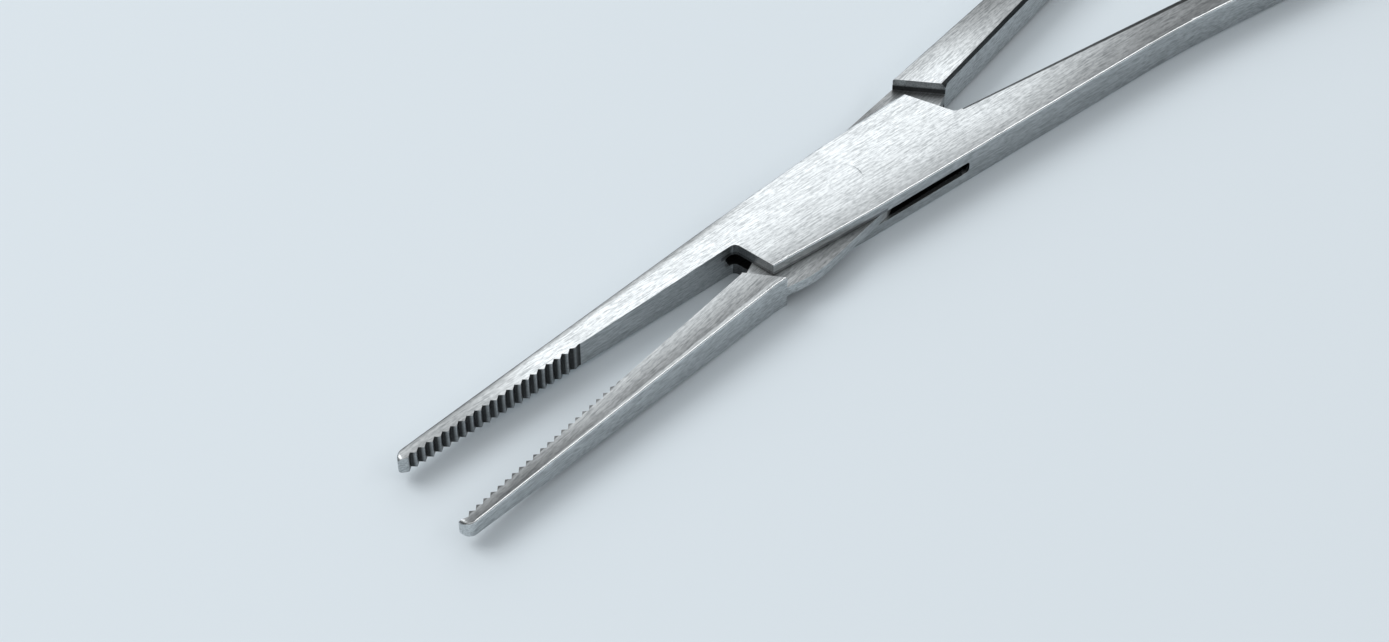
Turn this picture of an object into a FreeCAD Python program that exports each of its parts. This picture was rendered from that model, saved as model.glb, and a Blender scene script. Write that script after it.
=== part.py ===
import FreeCAD, Part
import Sketcher
import math
import os

# Straight hemostat forceps with a box lock, 14 cm class, jaws serrated over their front half.
# The two halves cross in the box lock: the tenon of one passes through the slot of the other,
# and a rivet ground flush with both faces is the pivot.
# X runs to the jaw tips, Y across, Z up. The origin is the pivot axis on the underside.
# Both halves are drawn closed, the tenon half with its jaw on +Y and the box half with its
# jaw on -Y, and each is then turned away from the other to the opening at which it rests.

SIZES = [
    ("pivot_to_tip", 47.7, "pivot axis to the tips of the jaws"),
    ("pivot_to_end", 92.7, "pivot axis to the far edge of the finger rings"),
    ("rest_half_angle", 4.76, "degrees that each half stands open at rest"),
    ("box_thickness", 4.3, "height of the box lock, and of the finger rings"),
    ("tip_thickness", 2.07, "height of the jaws at the tips"),
    ("shank_thickness", 3.9, "height of the shanks at the ratchet"),
    ("pivot_half_width", 4.15, "centre line to the side of the box at the pivot"),
    ("rear_half_width", 4.35, "centre line to the side of the box at its rear end"),
    ("tip_radius", 1.0, "radius of the rounded nose, also the width of one tip"),
    ("jaw_relief", 0.3, "centre line to the inner face at the root of the jaw, tips meeting"),
    ("profile_radius", 150, "blend between the level box and the tapers, seen from the side"),
    ("side_radius", 100, "blend between the straight runs of the outer sides, seen from above"),
    ("nose_rounding", 0.6, "rounding of the nose above and below, seen from the side"),
    ("nose_overrun", 0.1, "how far the rounded profile runs on past the tips, seen from the side"),
    ("outer_rounding", 0.22, "rounding of the long outer edges"),
    ("box_bevel_width", 0.85, "bevel of the box half's inner shank edges, seen from above"),
    ("box_bevel_height", 0.45, "the same bevel, seen from the side"),
    ("box_bevel_start", 0.3, "share of that bevel left where it starts, behind the cheeks"),
    ("tenon_bevel_width", 0.3, "bevel of the tenon half's inner shank edges, seen from above"),
    ("tenon_bevel_height", 0.5, "the same bevel, seen from the side"),
    ("tenon_bevel_start", 0.8, "share of that bevel left where it starts, behind the shoulder"),
    ("tooth_pitch", 0.834, "spacing of the serrations"),
    ("tooth_depth", 0.34, "depth of the serrations"),
    ("last_tooth_depth", 0.12, "depth of the rearmost groove, where the cut runs out"),
    ("tooth_count", 22, "grooves in one jaw"),
    ("nose_length", 0.83, "plain nose in front of the serrations"),
    ("tooth_gap", 0.03, "room between the serrations when the jaws are shut"),
    ("cheek_thickness", 1.45, "each wall of the box above and below the slot"),
    ("cheek_front_outer", 10.8, "pivot to the front edge of the cheeks, at their side"),
    ("cheek_front_inner", 12.0, "pivot to the front edge of the cheeks, at the centre line"),
    ("cheek_front_half_width", 3.6, "centre line to the side of the cheeks at their front edge"),
    ("cheek_rear_outer", 10.0, "pivot to the rear edge of the cheeks, at their side"),
    ("cheek_rear_inner", 12.5, "pivot to the rear edge of the cheeks, at the centre line"),
    ("notch_radius", 0.7, "rounding where a cheek edge runs into the jaw or the shank"),
    ("slot_end_outer", 10.7, "pivot to the end wall of the slot, at the outer side"),
    ("slot_end_inner", 13.3, "pivot to the end wall of the slot, at the centre line"),
    ("slot_end_radius", 0.35, "rounding of the slot ends, top and bottom"),
    ("slide_clearance", 0.05, "room between the tenon and each cheek"),
    ("tenon_straight", 1.2, "how far past the pivot the flush side of the tenon runs"),
    ("ledge_place", 8.4, "pivot to where the tenon stands out most past the cheeks, in front"),
    ("ledge_half_width", 4.4, "centre line to the side of the tenon there"),
    ("ledge_root", 11.75, "pivot to where that ledge starts from the side of the jaw"),
    ("ledge_radius", 10, "blends of the ledge, seen from above"),
    ("shoulder_front_outer", 11.3, "pivot to the shoulder of the jaw, at its outer side"),
    ("shoulder_front_inner", 13.8, "pivot to the shoulder of the jaw, at the centre line"),
    ("shoulder_rear_outer", 11.25, "pivot to the shoulder of the shank, at its outer side"),
    ("shoulder_rear_inner", 14.5, "pivot to the shoulder of the shank, at the centre line"),
    ("pin_diameter", 2.4, "body of the rivet"),
    ("pin_clearance", 0.03, "running clearance of the rivet in the tenon, on the radius"),
    ("pin_head_diameter", 3.2, "riveted ends of the pin, flush with the faces"),
    ("pin_head_height", 0.4, "depth of the countersinks that the riveted ends fill"),
    ("tenon_root_inner", 0.7, "centre line to the inner side of the shank behind the tenon"),
    ("shank_root_inner", 0.05, "centre line to the inner side of the shank behind the box"),
    ("shank_middle", 35.0, "pivot to the station halfway along the shank"),
    ("shank_middle_half_width", 4.8, "centre line to the outer side there"),
    ("ratchet_place", 62.0, "pivot to the middle of the ratchet"),
    ("shank_rear_inner", 4.6, "centre line to the inner side of the shank at the ratchet"),
    ("shank_rear_width", 2.9, "width of the shank at the ratchet"),
    ("ring_radius", 12.2, "finger ring, radius to the middle of its section"),
    ("ring_section_width", 3.4, "finger ring, width of its section, which bulges to both sides"),
    ("ring_flat", 1.7, "finger ring, width of the flats above and below"),
    ("ring_weld_angle", 38, "degrees round the ring, from the front to where the shank's side meets it"),
    ("ring_offset", 16.6, "centre line to the centre of each finger ring, tips meeting"),
    ("ratchet_length", 5.0, "ratchet arm, size along the shank"),
    ("ratchet_reach", 1.5, "how far each ratchet arm passes the centre line"),
    ("ratchet_teeth", 3, "teeth on each ratchet arm"),
    ("ratchet_pitch", 1.8, "spacing of the ratchet teeth"),
    ("ratchet_tooth_height", 0.55, "height of the ratchet teeth"),
    ("ratchet_steep_side", 0.27, "ratchet teeth, width of the steep side seen from above"),
    ("ratchet_gap", 0.12, "room between the teeth of the two arms as they pass"),
    ("ratchet_set_in", 0.05, "how far the plain side of an arm lies inside the face of its shank"),
]


def make_sheet(doc):
    """The driving dimensions, one to a row, with an alias each."""
    table = doc.addObject("Spreadsheet::Sheet", "Sizes")
    for row, (name, value, meaning) in enumerate(SIZES, start=1):
        table.set("A%d" % row, name)
        table.set("B%d" % row, str(value))
        table.set("C%d" % row, meaning)
        table.setAlias("B%d" % row, name)
    return table


document = FreeCAD.newDocument("hemostat_forceps")
sheet = make_sheet(document)
document.recompute()


def size(name):
    """A driving dimension, read from the sheet."""
    return float(sheet.get(name))


def point(x, y, z=0.0):
    return FreeCAD.Vector(x, y, z)


def line(start, end):
    return Part.LineSegment(start, end).toShape()


def curve_between(start, start_way, end, end_way):
    """A smooth curve from start to end that leaves and arrives along the given directions."""
    curve = Part.BSplineCurve()
    curve.interpolate(Points=[start, end], InitialTangent=start_way, FinalTangent=end_way)
    return curve.toShape()


def rounded_corner(before, corner, after, radius):
    """Where the rounding of an outline's corner starts, its arc, and where it ends."""
    to_before = (before - corner).normalize()
    to_after = (after - corner).normalize()
    half = to_before.getAngle(to_after) / 2
    reach = radius / math.tan(half)
    middle_way = (to_before + to_after).normalize()
    centre = corner + middle_way * (radius / math.sin(half))
    start = corner + to_before * reach
    end = corner + to_after * reach
    arc = Part.Arc(start, centre - middle_way * radius, end).toShape()
    return start, arc, end


def blended(corners):
    """Straight runs joined by tangent arcs. Each corner is a point and the radius of its blend.

    A blend leaves part of the runs on both sides of it straight, so a short run limits it.
    """
    edges = []
    last = corners[0][0]
    for (before, _), (corner, radius), (after, _) in zip(corners, corners[1:], corners[2:]):
        turn = (corner - before).getAngle(after - corner)
        if turn > IN_LINE:
            room = BLEND_SHARE * min((corner - last).Length, (after - corner).Length / 2)
            limit = room / math.tan(turn / 2)
            start, arc, end = rounded_corner(before, corner, after, min(radius, limit))
            edges += [line(last, start), arc]
            last = end
    return edges + [line(last, corners[-1][0])]


def prism(edges, direction):
    """The solid that a closed outline sweeps along the direction."""
    return Part.Face(Part.Wire(Part.__sortEdges__(edges))).extrude(direction)


def polygon_prism(corners, direction):
    return Part.Face(Part.makePolygon(corners + [corners[0]])).extrude(direction)


# Places that several features share. The tenon half has side 1 and the box half side -1:
# the jaw lies on that side of the centre line and the shank on the other.

TENON_SIDE = 1
BOX_SIDE = -1
BOX_THICKNESS = size("box_thickness")
MIDDLE_HEIGHT = BOX_THICKNESS / 2
TIP = size("pivot_to_tip")
TIP_RADIUS = size("tip_radius")
RING_OUTER_RADIUS = size("ring_radius") + size("ring_section_width") / 2
RING_X = RING_OUTER_RADIUS - size("pivot_to_end")
SLOT_BOTTOM = size("cheek_thickness")
SLOT_TOP = BOX_THICKNESS - size("cheek_thickness")
TENON_BOTTOM = SLOT_BOTTOM + size("slide_clearance")
TENON_TOP = SLOT_TOP - size("slide_clearance")
PAST_THE_SIDES = 3 * size("rear_half_width")
IN_LINE = math.radians(0.01)
ON_THE_LINE = 0.001
UPRIGHT = math.sin(math.radians(5))
LEVEL = math.cos(math.radians(25))
BLEND_SHARE = 0.9
ABOVE = point(0, 0, BOX_THICKNESS)


def jaw_face(x):
    """Distance of a jaw's inner face from the centre line, with the tips meeting."""
    root = size("shoulder_front_inner")
    return size("tooth_gap") / 2 + size("jaw_relief") * (TIP - x) / (TIP - root)


def serrated_face(side):
    """The zigzag of the serrations, from the tip back, as corner points of the outline.

    Crests and grooves take turns every half pitch behind the nose. Where one jaw has a crest
    the other has a groove, so the teeth of one enter the grooves of the other.
    """
    half_pitch = size("tooth_pitch") / 2
    nose_end = TIP - size("nose_length")
    steps = 2 * int(size("tooth_count"))
    places = [TIP] + [nose_end - step * half_pitch for step in range(steps)]
    corners = []
    for step, x in enumerate(places):
        is_groove = (step % 2 == 0) == (side == BOX_SIDE)
        depth = size("tooth_depth") if step < steps - 1 else size("last_tooth_depth")
        sunk = depth / 2 if is_groove else -depth / 2
        corners.append(point(x, side * (jaw_face(x) + sunk)))
    x = places[-1] - half_pitch
    corners.append(point(x, side * jaw_face(x)))
    return corners


def half_outline(side, front_corner, front_root, rear_corner, rear_root, jaw_side, shank_side):
    """Outline of one half seen from above, from the nose round to the finger ring and back.

    front_corner and front_root are the ends of the edge that crosses from the shank's side of
    the box to the jaw; rear_corner and rear_root are those of the edge at the other end.
    jaw_side and shank_side are the corners of the outer sides near the box, each with the
    radius of its blend, in the order in which the outline meets them.
    Gives the whole outline, and the outer sides by themselves.
    """
    nose_outer = point(TIP - TIP_RADIUS, side * TIP_RADIUS)
    diagonal = TIP_RADIUS * math.sqrt(0.5)
    nose_middle = point(TIP - TIP_RADIUS + diagonal, side * diagonal)
    teeth = serrated_face(side)
    nose = Part.Arc(nose_outer, nose_middle, teeth[0]).toShape()
    inner = [line(start, end) for start, end in zip(teeth, teeth[1:])]

    radius = size("notch_radius")
    start, arc, end = rounded_corner(teeth[-1], front_root, front_corner, radius)
    inner += [line(teeth[-1], start), arc, line(end, front_corner)]

    inner_rear = point(-size("ratchet_place"), -side * size("shank_rear_inner"))
    start, arc, end = rounded_corner(rear_corner, rear_root, inner_rear, radius)
    inner += [line(rear_corner, start), arc, line(end, inner_rear)]
    ring_middle = point(RING_X, -side * size("ring_offset"))
    weld_angle = size("ring_weld_angle")
    ring_places = []
    for degrees in (90, (90 + weld_angle) / 2, weld_angle):
        angle = math.radians(degrees)
        way = point(math.cos(angle), side * math.sin(angle))
        ring_places.append(ring_middle + way * size("ring_radius"))
    ring_side, _, weld = ring_places
    inner.append(curve_between(inner_rear, point(-1, 0), ring_side, point(-1, 0)))
    inner.append(Part.Arc(*ring_places).toShape())

    bend = size("side_radius")
    ratchet_outer = size("shank_rear_inner") + size("shank_rear_width")
    middle = point(-size("shank_middle"), -side * size("shank_middle_half_width"))
    outer = [nose]
    outer += blended([(nose_outer, 0)] + jaw_side + [(rear_corner, 0)])
    outer += blended(
        [(weld, 0), (point(-size("ratchet_place"), -side * ratchet_outer), bend), (middle, bend)]
        + shank_side
        + [(front_corner, 0)]
    )
    return inner + outer, outer


def side_profile():
    """Outline of a half seen from the side: level at the box, thinner towards both ends."""
    tip_end = TIP + size("nose_overrun")
    jaw_root = size("shoulder_front_outer")
    jaw_slope = (BOX_THICKNESS - size("tip_thickness")) / 2 / (TIP - jaw_root)
    tip_half = MIDDLE_HEIGHT - jaw_slope * (tip_end - jaw_root)
    shank_half = size("shank_thickness") / 2
    rear = -size("pivot_to_end")
    blend = size("profile_radius")
    edges = [line(point(rear, 0, MIDDLE_HEIGHT - shank_half), point(rear, 0, MIDDLE_HEIGHT + shank_half))]
    for way in (1, -1):
        stations = [
            (tip_end, 0, 0),
            (tip_end, tip_half, size("nose_rounding")),
            (jaw_root, MIDDLE_HEIGHT, blend),
            (-size("shoulder_rear_inner"), MIDDLE_HEIGHT, blend),
            (-size("ratchet_place"), shank_half, blend),
            (rear, shank_half, 0),
        ]
        edges += blended([(point(x, 0, MIDDLE_HEIGHT + way * half), radius) for x, half, radius in stations])
    return edges


def outward(face):
    """The outward normal of a face at its middle, and that place."""
    u_start, u_end, v_start, v_end = face.ParameterRange
    u, v = (u_start + u_end) / 2, (v_start + v_end) / 2
    return face.normalAt(u, v), face.valueAt(u, v)


def long_edges(shape, walls):
    """The top and bottom edges of the walls, which are faces that stand upright."""
    found = []
    flats = [face for face in shape.Faces if abs(outward(face)[0].z) > LEVEL]
    for edge in shape.Edges:
        beside_wall = any(edge.isSame(other) for wall in walls for other in wall.Edges)
        beside_flat = any(edge.isSame(other) for flat in flats for other in flat.Edges)
        if beside_wall and beside_flat:
            found.append(edge)
    return found


def shank_bevels(side, front, width, height, start, lead):
    """Wedges that take off the inner edges of the shank, below and above, up to the ratchet.

    start is the share of the bevel that is left at front, and lead is how far the wedges run on
    past that place.
    """
    rear = point(-size("ratchet_place"), -side * size("shank_rear_inner"))
    wedges = []
    for way in (1, -1):
        front_edge = front + point(0, 0, MIDDLE_HEIGHT + way * MIDDLE_HEIGHT)
        front_edge += point(0, side * width, way * height) * ((1 - start) / 2)
        rear_edge = rear + point(0, 0, MIDDLE_HEIGHT + way * size("shank_thickness") / 2)
        corners = [
            front_edge + point(0, -2 * side * width, way * height),
            front_edge + point(0, side * width, -2 * way * height),
            front_edge + point(0, side * width, way * height),
        ]
        back = rear_edge - front_edge
        ahead = back * (lead / back.Length)
        wedges.append(polygon_prism([corner - ahead for corner in corners], back + ahead))
    return wedges


def forging(outline, outer_sides, cuts):
    """One half as forged, with its outer edges rounded, and then milled where cuts says."""
    width = 2 * (size("ring_offset") + RING_OUTER_RADIUS)
    profile = prism(side_profile(), point(0, width, 0))
    profile.translate(point(0, -width / 2, 0))
    shape = prism(outline, ABOVE).common(profile)
    outer_line = Part.Compound(outer_sides)
    outer_walls = []
    for face in shape.Faces:
        normal, middle = outward(face)
        foot = Part.Vertex(middle.x, middle.y, 0)
        if abs(normal.z) < UPRIGHT and foot.distToShape(outer_line)[0] < ON_THE_LINE:
            outer_walls.append(face)
    shape = shape.makeFillet(size("outer_rounding"), long_edges(shape, outer_walls))
    for cut in cuts:
        shape = shape.cut(cut)
    return shape


def finger_ring(side):
    """The ring, flat above and below and rounded to both sides, turned about its upright axis."""
    half_width = size("ring_section_width") / 2
    half_flat = size("ring_flat") / 2
    middle = point(RING_X + size("ring_radius"), -side * size("ring_offset"))
    section = []
    for way in (1, -1):
        low = middle + point(way * half_flat, 0)
        bulge = middle + point(way * half_width, 0, MIDDLE_HEIGHT)
        section.append(Part.Arc(low, bulge, low + ABOVE).toShape())
    for height in (point(0, 0), ABOVE):
        section.append(line(middle + point(-half_flat, 0) + height, middle + point(half_flat, 0) + height))
    centre = point(RING_X, -side * size("ring_offset"))
    return Part.Face(Part.Wire(Part.__sortEdges__(section))).revolve(centre, point(0, 0, 1), 360)


def ratchet_arm(side):
    """The arm that reaches from the shank past the centre line, with saw teeth facing the other.

    The tenon half's arm passes above that of the box half. Each tooth slopes on the side of the
    arm's end and stands steep on the side of the shank, so the arms ride over each other as the
    forceps closes and hold it shut.
    """
    plain = MIDDLE_HEIGHT + side * (size("shank_thickness") / 2 - size("ratchet_set_in"))
    peak = MIDDLE_HEIGHT + side * size("ratchet_gap") / 2
    root = peak + side * size("ratchet_tooth_height")
    pitch = size("ratchet_pitch")
    back = -(size("shank_rear_inner") + size("shank_rear_width") / 2)
    reach = size("ratchet_reach")
    corners = [(back, plain), (reach, plain), (reach, root)]
    for tooth in range(int(size("ratchet_teeth"))):
        end = reach - (tooth + 1) * pitch
        corners += [(end + size("ratchet_steep_side"), peak), (end, root)]
    corners.append((back, root))
    x = -size("ratchet_place") - size("ratchet_length") / 2
    places = [point(x, side * y, z) for y, z in corners]
    return polygon_prism(places, point(size("ratchet_length"), 0, 0))


def add(name, shape):
    feature = document.addObject("Part::Feature", name)
    feature.Shape = shape
    return feature


def add_fuse(name, parts):
    fuse = document.addObject("Part::MultiFuse", name)
    fuse.Shapes = parts
    return fuse


def add_cut(name, base, tool):
    cut = document.addObject("Part::Cut", name)
    cut.Base = base
    cut.Tool = tool
    return cut


def add_pin_bore(name, radius):
    """An upright hole on the pivot axis, right through the box."""
    bore = document.addObject("Part::Cylinder", name)
    bore.setExpression("Radius", radius)
    bore.setExpression("Height", "Sizes.box_thickness")
    return bore


def add_countersink(name, lower_radius, upper_radius):
    """A flared end of the rivet's hole, standing on the underside of the box."""
    cone = document.addObject("Part::Cone", name)
    cone.setExpression("Radius1", lower_radius)
    cone.setExpression("Radius2", upper_radius)
    cone.setExpression("Height", "Sizes.pin_head_height")
    return cone


def turned(feature, label, side):
    """Names a finished half and turns it to the opening at which the forceps rests."""
    feature.Label = label
    feature.Placement = FreeCAD.Placement(point(0, 0), FreeCAD.Rotation(point(0, 0, 1), side))
    feature.setExpression("Placement.Rotation.Angle", "%d * Sizes.rest_half_angle" % side)
    return feature


# Box half: the cheeks above and below its slot are one piece with its jaw and shank

def box_outline():
    side = BOX_SIDE
    bend = size("side_radius")
    return half_outline(
        side,
        front_corner=point(size("cheek_front_outer"), -side * size("cheek_front_half_width")),
        front_root=point(size("cheek_front_inner"), side * jaw_face(size("cheek_front_inner"))),
        rear_corner=point(-size("cheek_rear_outer"), side * size("rear_half_width")),
        rear_root=point(-size("cheek_rear_inner"), -side * size("shank_root_inner")),
        jaw_side=[(point(0, side * size("pivot_half_width")), bend)],
        shank_side=[
            (point(-size("cheek_rear_outer"), -side * size("rear_half_width")), bend),
            (point(0, -side * size("pivot_half_width")), bend),
        ],
    )


def along(start, end, y):
    """The point of the line from start to end that has the given y."""
    return start + (end - start) * ((y - start.y) / (end.y - start.y))


def crossing_band(side, front_outer, front_inner, rear_outer, rear_inner):
    """Corners of the band across the box between two slanted end walls, past both its sides."""
    front = point(front_outer, side * size("cheek_front_half_width")), point(front_inner, 0)
    rear = point(-rear_outer, -side * size("rear_half_width")), point(-rear_inner, 0)
    far = side * PAST_THE_SIDES
    return [along(*front, far), along(*front, -far), along(*rear, -far), along(*rear, far)]


def slot():
    """The slot through the box, with rounded ends, that the tenon of the other half crosses."""
    corners = crossing_band(
        BOX_SIDE,
        size("slot_end_outer"),
        size("slot_end_inner"),
        size("slot_end_outer"),
        size("slot_end_inner"),
    )
    tool = polygon_prism(corners, point(0, 0, SLOT_TOP - SLOT_BOTTOM))
    tool.translate(point(0, 0, SLOT_BOTTOM))
    ends = [e for e in tool.Edges if e.BoundBox.ZLength < 0.01 and e.BoundBox.YLength > PAST_THE_SIDES]
    return tool.makeFillet(size("slot_end_radius"), ends)


box_shank_front = point(
    -size("cheek_rear_inner") - size("notch_radius"), -BOX_SIDE * size("shank_root_inner")
)
box_cuts = shank_bevels(
    BOX_SIDE,
    box_shank_front,
    size("box_bevel_width"),
    size("box_bevel_height"),
    size("box_bevel_start"),
    lead=0,
)
box_body = add_fuse(
    "box_half_solid",
    [
        add("box_forging", forging(*box_outline(), box_cuts)),
        add("box_ring", finger_ring(BOX_SIDE)),
        add("box_ratchet", ratchet_arm(BOX_SIDE)),
    ],
)
head_radius = "Sizes.pin_head_diameter / 2"
pin_radius = "Sizes.pin_diameter / 2"
lower_countersink = add_countersink("lower_countersink", head_radius, pin_radius)
upper_countersink = add_countersink("upper_countersink", pin_radius, head_radius)
upper_countersink.setExpression("Placement.Base.z", "Sizes.box_thickness - Sizes.pin_head_height")
box_openings = add_fuse(
    "box_openings",
    [
        add("slot", slot()),
        add_pin_bore("box_bore", pin_radius),
        lower_countersink,
        upper_countersink,
    ],
)
box_half = turned(add_cut("box_half", box_body, box_openings), "box_half", BOX_SIDE)


# Tenon half: thinned between two slanted shoulders to pass through the slot

def tenon_outline():
    side = TENON_SIDE
    straight = size("tenon_straight")
    bend = size("ledge_radius")
    root = size("ledge_root")
    taper = (size("pivot_half_width") - TIP_RADIUS) / (TIP - TIP_RADIUS)
    return half_outline(
        side,
        front_corner=point(straight, -side * size("pivot_half_width")),
        front_root=point(size("shoulder_front_inner"), side * jaw_face(size("shoulder_front_inner"))),
        rear_corner=point(-straight, side * size("pivot_half_width")),
        rear_root=point(-size("shoulder_rear_inner"), -side * size("tenon_root_inner")),
        jaw_side=[
            (point(root, side * (TIP_RADIUS + taper * (TIP - TIP_RADIUS - root))), bend),
            (point(size("ledge_place"), side * size("ledge_half_width")), bend),
        ],
        shank_side=[
            (point(-size("cheek_rear_outer"), -side * size("rear_half_width")), size("side_radius")),
        ],
    )


def tenon_reliefs():
    """What is cut away below and above the tenon, between the shoulders."""
    corners = crossing_band(
        TENON_SIDE,
        size("shoulder_front_outer"),
        size("shoulder_front_inner"),
        size("shoulder_rear_outer"),
        size("shoulder_rear_inner"),
    )
    reliefs = []
    for floor in (TENON_BOTTOM - BOX_THICKNESS, TENON_TOP):
        relief = polygon_prism(corners, ABOVE)
        relief.translate(point(0, 0, floor))
        reliefs.append(relief)
    return reliefs


tenon_shank_front = point(-size("shoulder_rear_inner"), -TENON_SIDE * size("tenon_root_inner"))
tenon_cuts = tenon_reliefs() + shank_bevels(
    TENON_SIDE,
    tenon_shank_front,
    size("tenon_bevel_width"),
    size("tenon_bevel_height"),
    size("tenon_bevel_start"),
    lead=size("shoulder_rear_inner") - size("shoulder_rear_outer"),
)
tenon_body = add_fuse(
    "tenon_half_solid",
    [
        add("tenon_forging", forging(*tenon_outline(), tenon_cuts)),
        add("tenon_ring", finger_ring(TENON_SIDE)),
        add("tenon_ratchet", ratchet_arm(TENON_SIDE)),
    ],
)
tenon_bore = add_pin_bore("tenon_bore", "Sizes.pin_diameter / 2 + Sizes.pin_clearance")
tenon_half = turned(add_cut("tenon_half", tenon_body, tenon_bore), "tenon_half", TENON_SIDE)


# Pivot pin: turned, riveted over in the countersinks and ground flush

def add_pin():
    body = document.addObject("PartDesign::Body", "pivot_pin")
    sketch = body.newObject("Sketcher::SketchObject", "pin_half_section")
    plane = [f for f in body.Origin.OriginFeatures if f.Role == "XZ_Plane"][0]
    sketch.AttachmentSupport = [(plane, "")]
    sketch.MapMode = "FlatFace"
    head = size("pin_head_diameter") / 2
    shaft = size("pin_diameter") / 2
    depth = size("pin_head_height")
    corners = [
        point(0, 0),
        point(head, 0),
        point(shaft, depth),
        point(shaft, BOX_THICKNESS - depth),
        point(head, BOX_THICKNESS),
        point(0, BOX_THICKNESS),
    ]
    count = len(corners)
    for index in range(count):
        sketch.addGeometry(Part.LineSegment(corners[index], corners[(index + 1) % count]), False)
    for index in range(count):
        sketch.addConstraint(Sketcher.Constraint("Coincident", index, 2, (index + 1) % count, 1))
    sketch.addConstraint(Sketcher.Constraint("Coincident", 0, 1, -1, 1))
    sketch.addConstraint(Sketcher.Constraint("Horizontal", 0))
    sketch.addConstraint(Sketcher.Constraint("Vertical", 2))
    sketch.addConstraint(Sketcher.Constraint("Horizontal", 4))
    sketch.addConstraint(Sketcher.Constraint("Vertical", 5))
    bound = [
        ("DistanceX", 0, 2, head, "Sizes.pin_head_diameter / 2"),
        ("DistanceX", 4, 1, head, "Sizes.pin_head_diameter / 2"),
        ("DistanceX", 1, 2, shaft, "Sizes.pin_diameter / 2"),
        ("DistanceY", 1, 2, depth, "Sizes.pin_head_height"),
        ("DistanceY", 2, 2, BOX_THICKNESS - depth, "Sizes.box_thickness - Sizes.pin_head_height"),
        ("DistanceY", 4, 2, BOX_THICKNESS, "Sizes.box_thickness"),
    ]
    for kind, edge, end, value, expression in bound:
        place = sketch.addConstraint(Sketcher.Constraint(kind, -1, 1, edge, end, value))
        sketch.setExpression("Constraints[%d]" % place, expression)
    turning = body.newObject("PartDesign::Revolution", "turned_pin")
    turning.Profile = sketch
    turning.ReferenceAxis = (sketch, ["V_Axis"])
    turning.Angle = 360
    return body


pivot_pin = add_pin()
document.recompute()


def check_and_export(parts):
    """Stops if anything failed to build, then writes each piece to its own file."""
    for feature in document.Objects:
        if "Invalid" in feature.State or "Error" in feature.State:
            raise RuntimeError("%s did not build: %s" % (feature.Name, feature.State))
    for feature in parts:
        if feature.Shape.isNull() or not feature.Shape.isValid():
            raise RuntimeError("%s is not a valid solid" % feature.Label)
        if len(feature.Shape.Solids) != 1:
            raise RuntimeError("%s has %d solids" % (feature.Label, len(feature.Shape.Solids)))
    os.makedirs("parts", exist_ok=True)
    for feature in parts:
        feature.Shape.exportStep("parts/%s.step" % feature.Label)
        print(feature.Label, "volume", round(feature.Shape.Volume, 2), "mm3")


check_and_export([box_half, tenon_half, pivot_pin])
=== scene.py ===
import math

import bpy
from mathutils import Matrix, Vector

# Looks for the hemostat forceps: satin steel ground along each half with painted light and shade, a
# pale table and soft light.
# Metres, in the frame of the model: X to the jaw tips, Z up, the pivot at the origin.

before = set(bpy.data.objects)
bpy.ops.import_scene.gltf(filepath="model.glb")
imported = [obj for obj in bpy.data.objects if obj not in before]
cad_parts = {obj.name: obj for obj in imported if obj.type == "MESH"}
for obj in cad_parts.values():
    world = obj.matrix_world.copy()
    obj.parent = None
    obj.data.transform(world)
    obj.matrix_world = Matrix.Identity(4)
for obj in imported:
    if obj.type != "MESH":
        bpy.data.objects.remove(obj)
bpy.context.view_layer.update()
MM = 0.001

# Softening of the corners
EDGE_SOFTENING = 0.04 * MM
WELD_DISTANCE = 0.001 * MM
SHARP_CORNER = math.radians(30)
NORMAL_WEIGHT = 100

# Camera, as in the photograph
CAMERA_PLACE = Vector((0.14177, 0.13766, 0.26409))
CAMERA_TARGET = Vector((0.018988, 0.001277, 0.002))
CAMERA_LENS = 96.15
CAMERA_SENSOR = 36.0
CAMERA_CLIP = (0.01, 150)

# The table: a sheet just under the forceps, and the border that runs to the horizon
TABLE_COLOUR = (0.68, 0.745, 0.79)
TABLE_ROUGHNESS = 0.7
TABLE_SPECULAR = 0.2
TABLE_HEIGHT = -0.02 * MM
TABLE_REACHES = (2.0, 60.0)

# The room: its colours by height, the way of its soft light, and how strong it is off and on that way
HORIZON = (0.05, (0.52, 0.55, 0.58))
OVERHEAD = (0.62, (0.98, 0.99, 1.0))
SOFT_LIGHT_WAY = (-0.38, -0.43, 0.82)
SOFT_LIGHT_SPREAD = (0.35, 0.95)
ROOM_LEVELS = (0.35, 1.16)

# Lamps, aimed at the pivot: name, place, size and watts
LAMPS = [
    ("key", (0.28, -0.52, 0.74), (0.5, 0.5), 3.5),
    ("strip", (-0.25, 0.36, 0.48), (0.5, 0.06), 0.3),
]
LAMP_COLOUR = (1.0, 1.0, 1.0)

# One half of the forceps, in millimetres in its own frame, whose X runs along the half.
# Ends of stretches in X, but JAW_FACE is how far the jaw's inner face lies from the middle at its
# root and at the tip, SLOT_HEIGHTS is in Z, and SHARE_RANGE is in shares of the half width.
REST_HALF_ANGLE = math.radians(4.76)
TIP = 47.7
TIP_RADIUS = 1.0
PIVOT_HALF_WIDTH = 4.15
JAW_ROOT = 13.8
JAW_FACE = (0.315, 0.015)
TEETH = (28.75, 46.9)
TENON_TOP = 2.8
SLOT_HEIGHTS = (1.42, 2.88)
SLOT_MOUTH = (-1.5, 13.5)
REAR_SHOULDER = (-15.5, -10.5)
RING_START = -64.0
LENGTH_RANGE = (-95.0, 50.0)
SHARE_RANGE = (-1.5, 1.5)

# Kinds of face: by how level they are, nought being upright and one level, by the part of the normal
# that points to the jaws or to the left, and by how far out from the middle they look
UPRIGHT_FADE = (0.2, 0.4)
SLOPING = (0.3, 0.97)
FACING_JAWS = 0.45
FACING_LEFT = 0.05
OUTER_EDGE = 0.15
INNER_EDGE = -0.05

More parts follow.
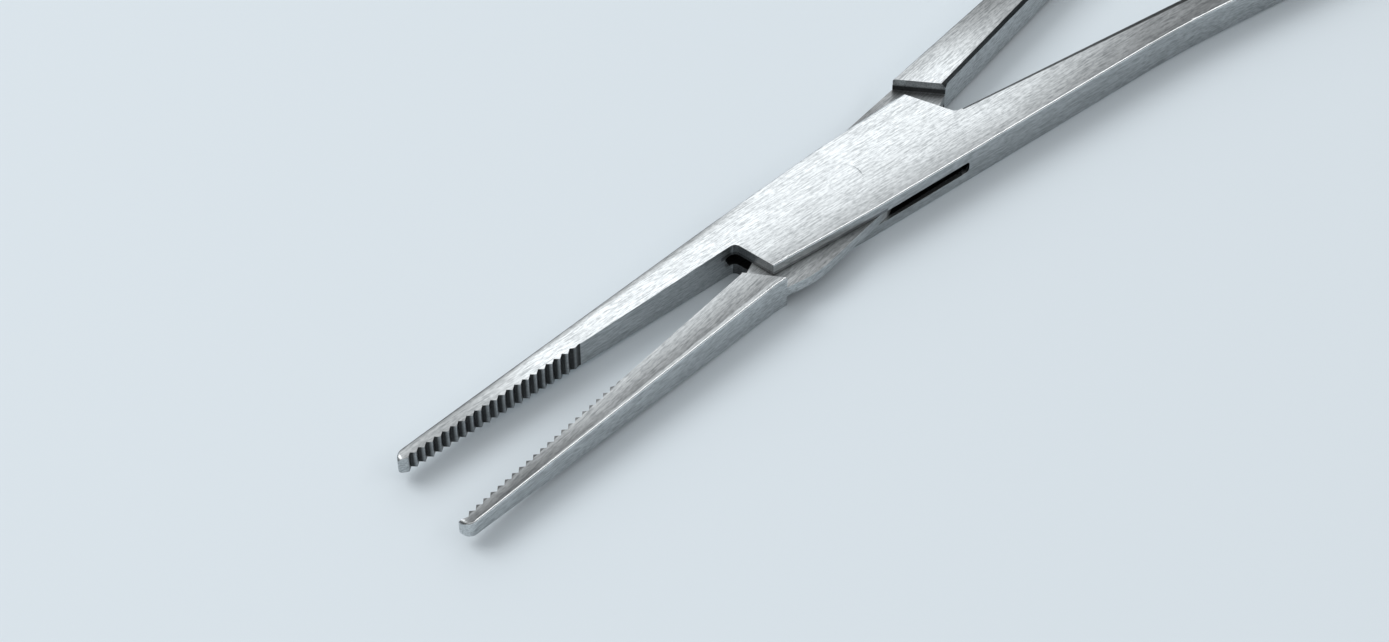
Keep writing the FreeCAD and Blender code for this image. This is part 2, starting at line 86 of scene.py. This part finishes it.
# Grinding marks: noise per millimetre along, across and up, its detail, and the colours it runs between
GRAIN = ((1.7, 6.5, 6.5), 3.0)
STREAKS = ((0.45, 11.0, 11.0), 2.0)
MOTTLE = ((0.35, 0.9, 0.9), 2.0)
NOISE_ROUGHNESS = 0.6
GRAIN_DARK = (0.38, (0.50, 0.53, 0.545))
GRAIN_LIGHT = (0.58, (0.925, 0.965, 0.98))
MOTTLE_SPREAD = (0.3, 0.7)
MOTTLE_LEVELS = (0.93, 1.05)
GRAIN_SPREAD = (0.35, 0.65)
GRAIN_ROUGHNESS = (0.40, 0.27)
GRAIN_BUMP = 0.55
GRAIN_DEPTH = 0.006 * MM

# Painted light and shade of single features, where one leaves the steel as it is, the edges' polish,
# and the stretches where they set in
# Painted highlight on the outer edges that face left, and the share of roughness that polish leaves
# there
EDGE_HIGHLIGHT_COLOUR = (0.86, 0.89, 0.90)
EDGE_POLISH = 0.6
# Painted shade on the inner shank bevels, and where it ends toward the jaws
BEVEL_SHADE_TONE = 0.2
BEVEL_FRONT = -11.0
# Stretch along the jaw where the painted line on its rim sets in
RIM_FADE = (8.0, 14.0)
# Painted shade in the serration grooves and a painted highlight on their crests
GROOVE_DEPTHS = (0.03, -0.15)
GROOVE_SHADE_AND_CREST_HIGHLIGHT = (0.08, 0.95)
TOOTH_ZONE = (-0.3, 0.3)
CREST_DEPTH = 0.06
# Painted shade in the seam along the slot's mouth
SEAM_SHADE_TONE = 0.45
# Stretch in X over which the painted shade of the recess changes level
GLOOM_FADE = (-9.5, -8.0)
# Heights over which the painted shade at the foot of the shoulder wall fades out
FOOT_FADE = (3.35, 3.6)

# Painted light and shade of each half, with its turn and side. Levels are shares of the full brightness
# of the steel.
# turn: how far the half is turned at rest; side: the side of its jaw, +1 or -1 in Y
# along: painted reflection at places along the half; across: the same at shares of its half width;
# sides: painted shade, upright faces
# rim: shares of the half width between which a painted line on the jaw's rim sets in, and its level:
# shade below one, highlight above
# tooth_tops: painted tone on level faces of the teeth; seam_top: height to which the slot's seam has
# painted shade
# notch: painted shade on walls at the slot's mouth that face the jaws; shoulder_foot: painted shade at
# the foot of the shoulder wall
# recess: where the hidden faces at the slot start and end, with the slant of their start, their half
# width, and the level of their painted shade behind and in front
BOX_PAINTED_LIGHT = {
    "turn": -REST_HALF_ANGLE,
    "side": -1,
    "along": [
        (-66, 0.8), (-48, 0.46), (-38, 0.43), (-31, 0.52),
        (-24, 0.74), (-16, 1.0), (32, 0.97), (40, 0.46),
    ],
    "across": [(-0.2, 1.0), (0.5, 0.84), (1.05, 0.52)],
    "sides": 0.60,
    "rim": (-0.74, -0.93, 0.42),
    "tooth_tops": 1.05,
    "seam_top": 3.25,
    "notch": 0.34,
    "shoulder_foot": 1.0,
    "recess": {"start": -12.6, "end": 12.6, "slant": 0.0, "half_width": 3.9, "levels": (0.08, 0.10)},
}
TENON_PAINTED_LIGHT = {
    "turn": REST_HALF_ANGLE,
    "side": 1,
    "along": [
        (-66, 0.8), (-40, 0.5), (-24, 0.46), (-19, 0.78), (-15, 1.0),
        (8, 1.0), (12, 0.70), (32, 0.58), (40, 0.34),
    ],
    "across": [(-1.0, 0.66), (-0.55, 1.0), (0.1, 1.0), (1.0, 0.34)],
    "sides": 0.70,
    "rim": (0.83, 0.88, 2.2),
    "tooth_tops": 0.45,
    "seam_top": TENON_TOP,
    "notch": 1.0,
    "shoulder_foot": 0.12,
    "recess": {"start": -14.4, "end": -1.0, "slant": 0.74, "half_width": 6.0, "levels": (0.60, 0.45)},
}


class Shading:
    """Adds nodes to a shader, in columns. What goes into them is a socket, a number or a vector."""

    ROWS = 10
    COLUMNS = 12
    SPACING = 220

    def __init__(self, tree):
        self.tree = tree

    def add(self, kind, **settings):
        column, row = divmod(len(self.tree.nodes), self.ROWS)
        made = self.tree.nodes.new(kind)
        made.location = (self.SPACING * (column - self.COLUMNS), -self.SPACING * row)
        for name, value in settings.items():
            setattr(made, name, value)
        return made

    def feed(self, socket, value):
        if isinstance(value, bpy.types.NodeSocket):
            self.tree.links.new(value, socket)
        else:
            socket.default_value = value

    def calculate(self, operation, first, second=0.0):
        """The result of a math node's operation, such as ADD."""
        made = self.add("ShaderNodeMath", operation=operation)
        self.feed(made.inputs[0], first)
        self.feed(made.inputs[1], second)
        return made.outputs[0]

    def product(self, *values):
        result = values[0]
        for value in values[1:]:
            result = self.calculate("MULTIPLY", result, value)
        return result

    def above(self, value, limit):
        """One where the value lies above the limit, nought elsewhere."""
        return self.calculate("GREATER_THAN", value, limit)

    def below(self, value, limit):
        return self.calculate("LESS_THAN", value, limit)

    def between(self, value, low, high):
        return self.product(self.above(value, low), self.below(value, high))

    def ranged(self, value, span, results=(0.0, 1.0)):
        """Stretches the span of a value to that of the results, and holds it at their ends."""
        made = self.add("ShaderNodeMapRange", clamp=True)
        self.feed(made.inputs["Value"], value)
        for name, number in zip(("From Min", "From Max", "To Min", "To Max"), span + results):
            self.feed(made.inputs[name], number)
        return made.outputs["Result"]

    def toned(self, mask, tone):
        """A level of one, and the tone where the mask is one."""
        return self.ranged(mask, (0.0, 1.0), (1.0, tone))

    def blend(self, first, second, share, data_type="FLOAT"):
        """The first value, and the second where the share is one."""
        made = self.add("ShaderNodeMix", data_type=data_type)
        self.feed(made.inputs["Factor"], share)
        self.feed(made.inputs["A"], first)
        self.feed(made.inputs["B"], second)
        return made.outputs["Result"]

    def ramp(self, value, stops):
        """A colour that runs through the given stops, each a place from nought to one and a colour."""
        made = self.add("ShaderNodeValToRGB")
        elements = made.color_ramp.elements
        elements.remove(elements[1])
        for index, (place, colour) in enumerate(stops):
            element = elements.new(place) if index else elements[0]
            element.position = place
            element.color = (*colour, 1)
        self.feed(made.inputs["Fac"], value)
        return made.outputs["Color"]

    def profile(self, value, span, stops):
        """A level that runs through the given stops, each a value within the span and its level."""
        low, high = span
        share = self.ranged(value, span)
        greys = [((place - low) / (high - low), (level, level, level)) for place, level in stops]
        return self.ramp(share, greys)

    def noise(self, place, scale, detail):
        mapping = self.add("ShaderNodeMapping", vector_type="POINT")
        self.feed(mapping.inputs["Vector"], place)
        self.feed(mapping.inputs["Scale"], scale)
        made = self.add("ShaderNodeTexNoise")
        self.feed(made.inputs["Vector"], mapping.outputs["Vector"])
        self.feed(made.inputs["Scale"], 1.0)
        self.feed(made.inputs["Detail"], detail)
        self.feed(made.inputs["Roughness"], NOISE_ROUGHNESS)
        return made.outputs["Fac"]

    def turned(self, vector, turn, scale=1.0):
        """A vector of the object in the frame of one half, and its parts X, Y and Z."""
        mapping = self.add("ShaderNodeMapping", vector_type="POINT")
        self.feed(mapping.inputs["Vector"], vector)
        self.feed(mapping.inputs["Rotation"], (0, 0, -turn))
        self.feed(mapping.inputs["Scale"], (scale, scale, scale))
        parts = self.add("ShaderNodeSeparateXYZ")
        self.feed(parts.inputs[0], mapping.outputs["Vector"])
        return mapping.outputs["Vector"], parts.outputs


class Surface:
    """The place on one half, in millimetres in its own frame, and the way the face there looks."""

    def __init__(self, shading, painted_light):
        coordinates = shading.add("ShaderNodeTexCoord")
        geometry = shading.add("ShaderNodeNewGeometry")
        facing = shading.add("ShaderNodeVectorTransform", vector_type="NORMAL")
        facing.convert_from = "WORLD"
        facing.convert_to = "OBJECT"
        shading.feed(facing.inputs[0], geometry.outputs["True Normal"])
        self.place, self.at = shading.turned(coordinates.outputs["Object"], painted_light["turn"], 1 / MM)
        _, self.way = shading.turned(facing.outputs[0], painted_light["turn"])

        levelness = shading.calculate("ABSOLUTE", self.way["Z"])
        self.upright = shading.ranged(levelness, UPRIGHT_FADE, (1.0, 0.0))
        self.flat = shading.calculate("SUBTRACT", 1.0, self.upright)
        self.sloping = shading.between(levelness, *SLOPING)
        self.outward = shading.product(self.at["Y"], self.way["Y"])
        self.facing_jaws = shading.above(self.way["X"], FACING_JAWS)

        taper = (PIVOT_HALF_WIDTH, TIP_RADIUS)
        half_width = shading.ranged(self.at["X"], (0.0, TIP - TIP_RADIUS), taper)
        self.share = shading.calculate("DIVIDE", self.at["Y"], half_width)


def ground_marks(shading, surface):
    """The fine marks of grinding along the half."""
    grain = shading.noise(surface.place, *GRAIN)
    streaks = shading.noise(surface.place, *STREAKS)
    both = shading.calculate("ADD", grain, streaks)
    return shading.product(both, 0.5)


def mottle_level(shading, surface):
    mottle = shading.noise(surface.place, *MOTTLE)
    return shading.ranged(mottle, MOTTLE_SPREAD, MOTTLE_LEVELS)


def painted_broad_tones(shading, surface, painted_light):
    """Painted light and shade: how light the level faces are along and across the half, as reflections
    fall, and how light the upright ones.
    """
    lengthwise = shading.profile(surface.at["X"], LENGTH_RANGE, painted_light["along"])
    across = shading.profile(surface.share, SHARE_RANGE, painted_light["across"])
    faces = shading.product(lengthwise, across)
    return shading.blend(faces, painted_light["sides"], surface.upright)


def painted_bevel_shade(shading, surface):
    """Painted shade on the bevels of the inner shank edges, for the darker surroundings that they
    reflect.
    """
    on_shank = shading.between(surface.at["X"], RING_START, BEVEL_FRONT)
    inner = shading.below(surface.outward, INNER_EDGE)
    return shading.toned(shading.product(inner, surface.sloping, on_shank), BEVEL_SHADE_TONE)


def painted_rim_line(shading, surface, painted_light):
    """A painted line along the long rim of the jaw's upper face: shade where its level is below one, a
    highlight where above.
    """
    share_from, share_to, tone = painted_light["rim"]
    on_rim = shading.ranged(surface.share, (share_from, share_to))
    on_jaw = shading.ranged(surface.at["X"], RIM_FADE)
    return shading.toned(shading.product(on_rim, on_jaw, surface.flat), tone)


def painted_tooth_tones(shading, surface, painted_light):
    """The walls of the serrations with painted shade in the grooves and a painted highlight on the
    crests, and a painted tone on their tops.
    """
    own_side = shading.product(surface.at["Y"], painted_light["side"])
    face = shading.ranged(surface.at["X"], (JAW_ROOT, TIP), JAW_FACE)
    height = shading.calculate("SUBTRACT", own_side, face)
    toothed = shading.between(surface.at["X"], *TEETH)
    near_face = shading.between(height, *TOOTH_ZONE)
    walls = shading.product(toothed, near_face, surface.upright)
    groove_or_crest = shading.ranged(height, GROOVE_DEPTHS, GROOVE_SHADE_AND_CREST_HIGHLIGHT)
    near_crest = shading.below(height, CREST_DEPTH)
    tops = shading.product(toothed, near_crest, surface.flat)
    return [shading.blend(1.0, groove_or_crest, walls), shading.toned(tops, painted_light["tooth_tops"])]


def painted_recess_shade(shading, surface, painted_light):
    """Painted shade on the faces that the box lock hides."""
    recess = painted_light["recess"]
    in_slot = shading.between(surface.at["Z"], *SLOT_HEIGHTS)
    off_middle = shading.calculate("ABSOLUTE", surface.at["Y"])
    set_back = shading.product(off_middle, recess["slant"])
    slanted = shading.calculate("SUBTRACT", surface.at["X"], set_back)
    past_start = shading.above(slanted, recess["start"])
    before_end = shading.below(surface.at["X"], recess["end"])
    inside = shading.between(surface.at["Y"], -recess["half_width"], recess["half_width"])
    hidden = shading.product(in_slot, past_start, before_end, inside)
    gloom = shading.ranged(surface.at["X"], GLOOM_FADE, recess["levels"])
    return shading.blend(1.0, gloom, hidden)


def painted_foot_shade(shading, surface, painted_light):
    """Painted shade at the foot of the wall where the shank steps down to the tenon."""
    at_shoulder = shading.between(surface.at["X"], *REAR_SHOULDER)
    low = shading.ranged(surface.at["Z"], FOOT_FADE, (1.0, 0.0))
    foot = shading.product(low, surface.facing_jaws, at_shoulder, surface.upright)
    return shading.toned(foot, painted_light["shoulder_foot"])


def painted_mouth_shade(shading, surface, painted_light):
    """Painted shade in the seam along the slot's mouth, and on the walls there that face the jaws."""
    mouth = shading.between(surface.at["X"], *SLOT_MOUTH)
    beside_slot = shading.between(surface.at["Z"], TENON_TOP, painted_light["seam_top"])
    seam = shading.product(beside_slot, mouth, surface.upright)
    notch = shading.product(surface.facing_jaws, mouth, surface.upright)
    return [shading.toned(seam, SEAM_SHADE_TONE), shading.toned(notch, painted_light["notch"])]


def edge_polish_and_painted_highlight(shading, surface):
    """One on the long outer edges to the left and nought elsewhere: a painted highlight in the colour,
    and polish by handling in the roughness.
    """
    outer = shading.above(surface.outward, OUTER_EDGE)
    leftward = shading.above(surface.way["Y"], FACING_LEFT)
    before_ring = shading.above(surface.at["X"], RING_START)
    return shading.product(outer, surface.sloping, leftward, before_ring)


def satin_steel(name, painted_light):
    """Stainless steel ground along one half, with the painted light and shade given for that half."""
    material = bpy.data.materials.new(name)
    material.use_nodes = True
    shader = material.node_tree.nodes["Principled BSDF"]
    shader.inputs["Metallic"].default_value = 1.0
    shading = Shading(material.node_tree)
    surface = Surface(shading, painted_light)
    marks = ground_marks(shading, surface)
    edges = edge_polish_and_painted_highlight(shading, surface)

    # The level of the steel: painted light and shade of its features, times its random mottle
    level = shading.product(
        painted_broad_tones(shading, surface, painted_light),
        mottle_level(shading, surface),
        painted_bevel_shade(shading, surface),
        painted_rim_line(shading, surface, painted_light),
        *painted_tooth_tones(shading, surface, painted_light),
        painted_recess_shade(shading, surface, painted_light),
        painted_foot_shade(shading, surface, painted_light),
        *painted_mouth_shade(shading, surface, painted_light),
    )
    shaded = shading.add("ShaderNodeVectorMath", operation="SCALE")
    shading.feed(shaded.inputs[0], shading.ramp(marks, [GRAIN_DARK, GRAIN_LIGHT]))
    shading.feed(shaded.inputs["Scale"], level)
    # A painted highlight on the outer edges that face left
    colour = shading.blend(shaded.outputs[0], (*EDGE_HIGHLIGHT_COLOUR, 1), edges, data_type="RGBA")
    shading.feed(shader.inputs["Base Color"], colour)

    satin = shading.ranged(marks, GRAIN_SPREAD, GRAIN_ROUGHNESS)
    shading.feed(shader.inputs["Roughness"], shading.product(satin, shading.toned(edges, EDGE_POLISH)))

    bump = shading.add("ShaderNodeBump")
    shading.feed(bump.inputs["Strength"], GRAIN_BUMP)
    shading.feed(bump.inputs["Distance"], GRAIN_DEPTH)
    shading.feed(bump.inputs["Height"], marks)
    shading.feed(shader.inputs["Normal"], bump.outputs["Normal"])
    return material


def dress(name, material):
    """Gives a node of the model its steel with painted light and shade, and takes the knife edge off
    its corners.
    """
    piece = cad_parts[name]
    piece.data.materials.clear()
    piece.data.materials.append(material)
    weld = piece.modifiers.new("weld", "WELD")
    weld.merge_threshold = WELD_DISTANCE
    bevel = piece.modifiers.new("edges", "BEVEL")
    bevel.width = EDGE_SOFTENING
    bevel.segments = 2
    bevel.limit_method = "ANGLE"
    bevel.angle_limit = SHARP_CORNER
    normals = piece.modifiers.new("normals", "WEIGHTED_NORMAL")
    normals.weight = NORMAL_WEIGHT


def place_in_scene(name, data):
    made = bpy.data.objects.new(name, data)
    bpy.context.scene.collection.objects.link(made)
    return made


def aim(thing, place, target):
    """Puts a lamp or the camera in its place and turns it to the target."""
    thing.location = place
    thing.rotation_mode = "QUATERNION"
    thing.rotation_quaternion = (Vector(target) - Vector(place)).to_track_quat("-Z", "Y")


def table_top():
    """The pale table: a square sheet and the four sides of its border."""
    material = bpy.data.materials.new("table")
    material.use_nodes = True
    shader = material.node_tree.nodes["Principled BSDF"]
    shader.inputs["Base Color"].default_value = (*TABLE_COLOUR, 1)
    shader.inputs["Roughness"].default_value = TABLE_ROUGHNESS
    shader.inputs["Specular IOR Level"].default_value = TABLE_SPECULAR
    square = ((-1, -1), (1, -1), (1, 1), (-1, 1))
    corners = [(x * reach, y * reach, TABLE_HEIGHT) for reach in TABLE_REACHES for x, y in square]
    border = [(side, side + 4, (side + 1) % 4 + 4, (side + 1) % 4) for side in range(4)]
    sheet = bpy.data.meshes.new("table")
    sheet.from_pydata(corners, [], [(0, 1, 2, 3)] + border)
    sheet.materials.append(material)
    top = place_in_scene("table", sheet)


def surroundings():
    """A studio: wide soft light overhead, strongest behind the forceps, greyer at the horizon."""
    world = bpy.data.worlds.new("room")
    bpy.context.scene.world = world
    world.use_nodes = True
    shading = Shading(world.node_tree)
    background = world.node_tree.nodes["Background"]
    way = shading.add("ShaderNodeTexCoord").outputs["Generated"]
    parts = shading.add("ShaderNodeSeparateXYZ")
    shading.feed(parts.inputs[0], way)
    shading.feed(background.inputs["Color"], shading.ramp(parts.outputs["Z"], [HORIZON, OVERHEAD]))
    toward = shading.add("ShaderNodeVectorMath", operation="DOT_PRODUCT")
    shading.feed(toward.inputs[0], way)
    shading.feed(toward.inputs[1], SOFT_LIGHT_WAY)
    strength = shading.ranged(toward.outputs["Value"], SOFT_LIGHT_SPREAD, ROOM_LEVELS)
    shading.feed(background.inputs["Strength"], strength)


def area_lamp(name, place, size, watts):
    data = bpy.data.lights.new(name, "AREA")
    data.shape = "RECTANGLE"
    data.size, data.size_y = size
    data.energy = watts
    data.color = LAMP_COLOUR
    aim(place_in_scene(name, data), place, (0, 0, 0))


def camera():
    data = bpy.data.cameras.new("camera")
    data.lens = CAMERA_LENS
    data.sensor_width = CAMERA_SENSOR
    data.clip_start, data.clip_end = CAMERA_CLIP
    made = place_in_scene("camera", data)
    aim(made, CAMERA_PLACE, CAMERA_TARGET)
    bpy.context.scene.camera = made


dress("box_half", satin_steel("satin_steel_box", BOX_PAINTED_LIGHT))
dress("tenon_half", satin_steel("satin_steel_tenon", TENON_PAINTED_LIGHT))
dress("pivot_pin", satin_steel("satin_steel_pin", BOX_PAINTED_LIGHT))
table_top()
surroundings()
for lamp in LAMPS:
    area_lamp(*lamp)
camera()
bpy.context.scene.view_settings.view_transform = "Standard"
